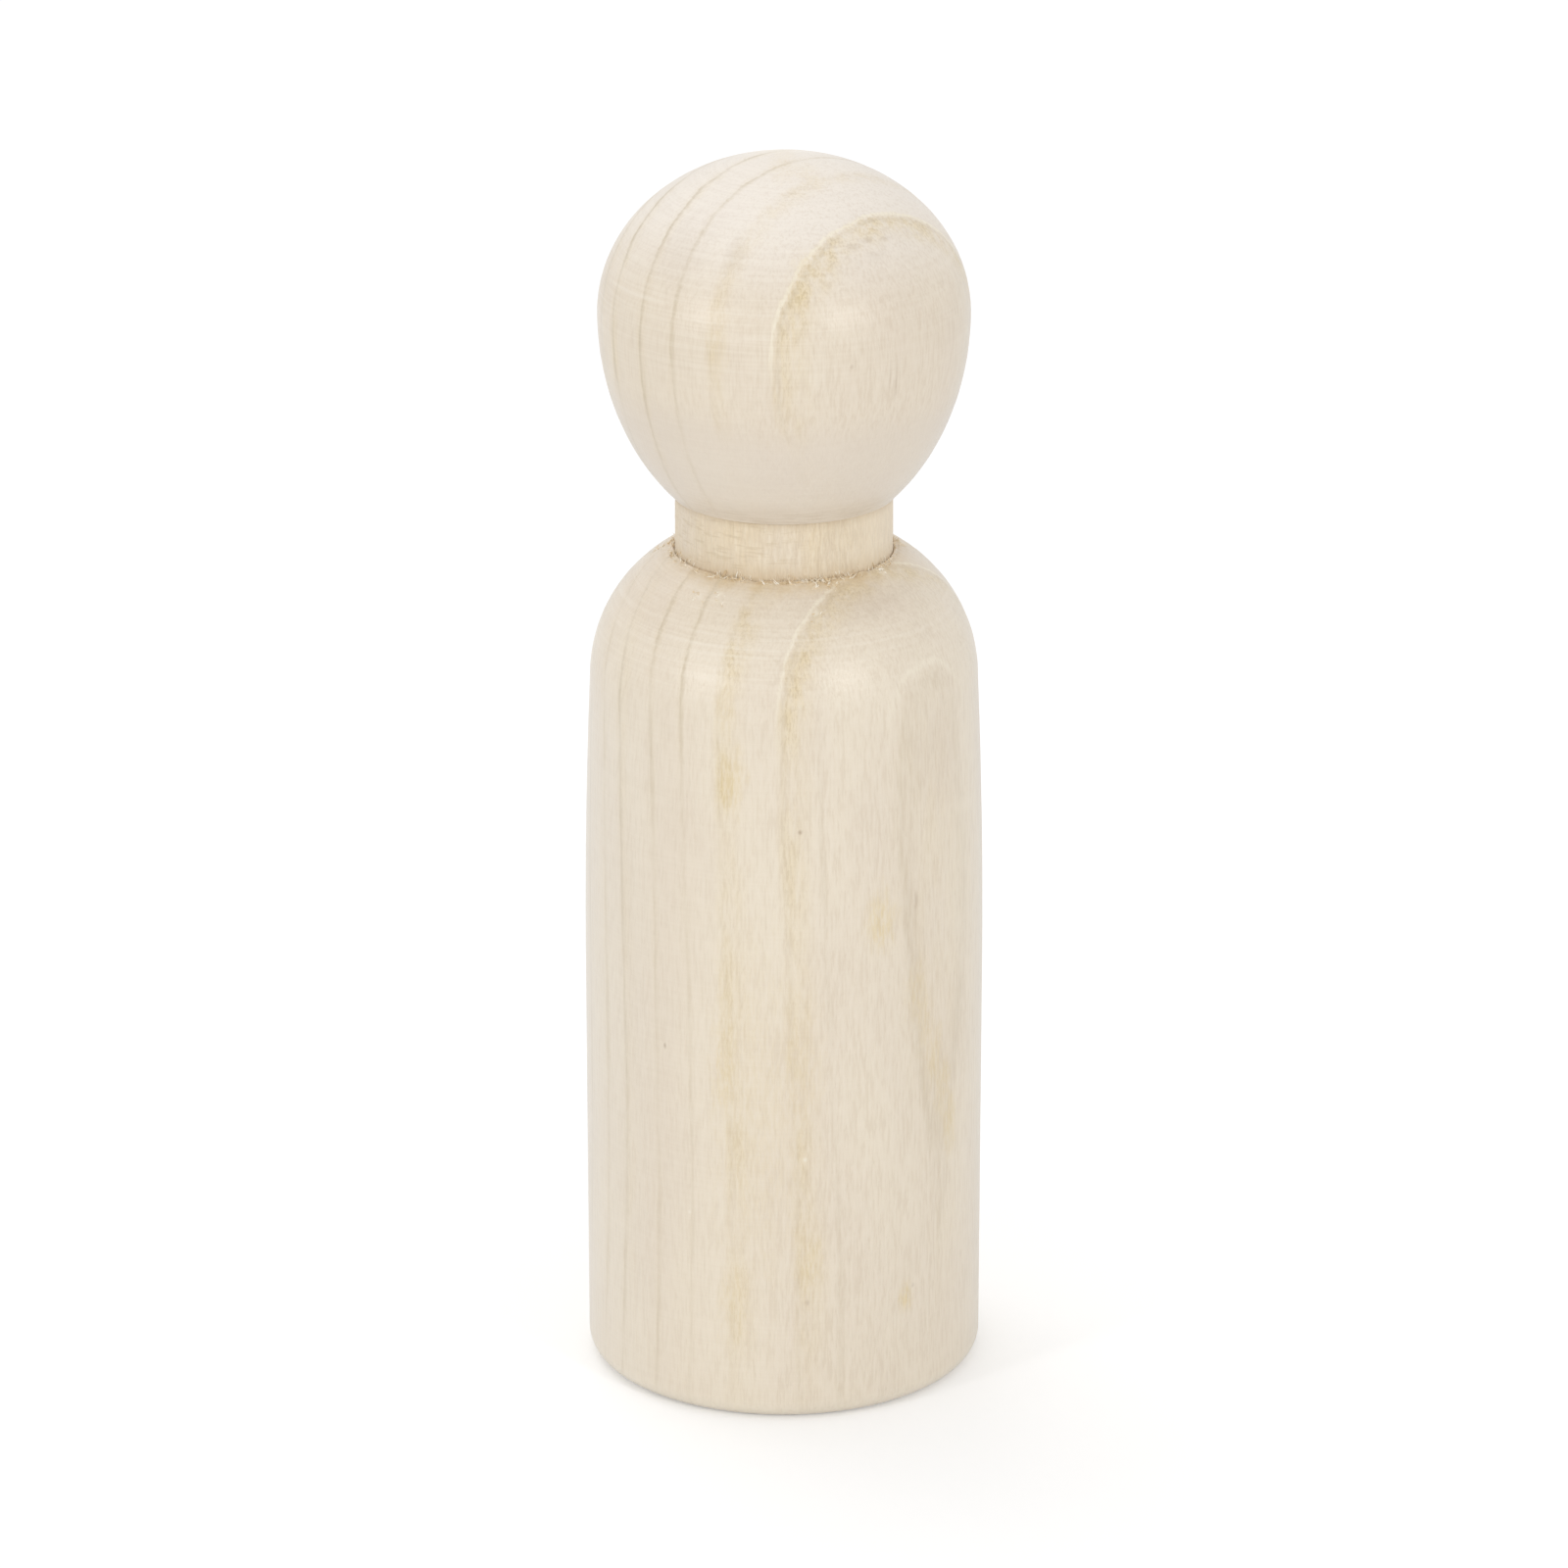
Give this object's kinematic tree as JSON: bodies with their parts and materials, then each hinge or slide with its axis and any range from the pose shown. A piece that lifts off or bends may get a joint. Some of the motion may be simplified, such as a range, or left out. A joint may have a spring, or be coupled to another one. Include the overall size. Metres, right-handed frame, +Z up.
{
  "type": "peg doll",
  "caption": "Plain unpainted wooden peg doll: a round head on a dowel neck, glued into a tall round-shouldered body that stands on a flat base.",
  "frame": {"origin": "middle of the flat base, on the surface that the doll stands on", "axes": "+Z up along the axis of turning, from the base to the crown of the head; +X to the doll's right hand side in the picture, -Y towards the camera"},
  "size_m": [0.0286, 0.0286, 0.09],
  "materials": {
    "sanded_wood": "pale cream softwood with faint growth rings, turned and sanded smooth, bare and satin",
    "unsanded_wood": "the same pale softwood left as cut, slightly yellower, fibrous and matt"
  },
  "bodies": {
    "root": {"body": "sanded_wood", "neck_dowel": "unsanded_wood", "head": "sanded_wood"}
  },
  "joints": []
}
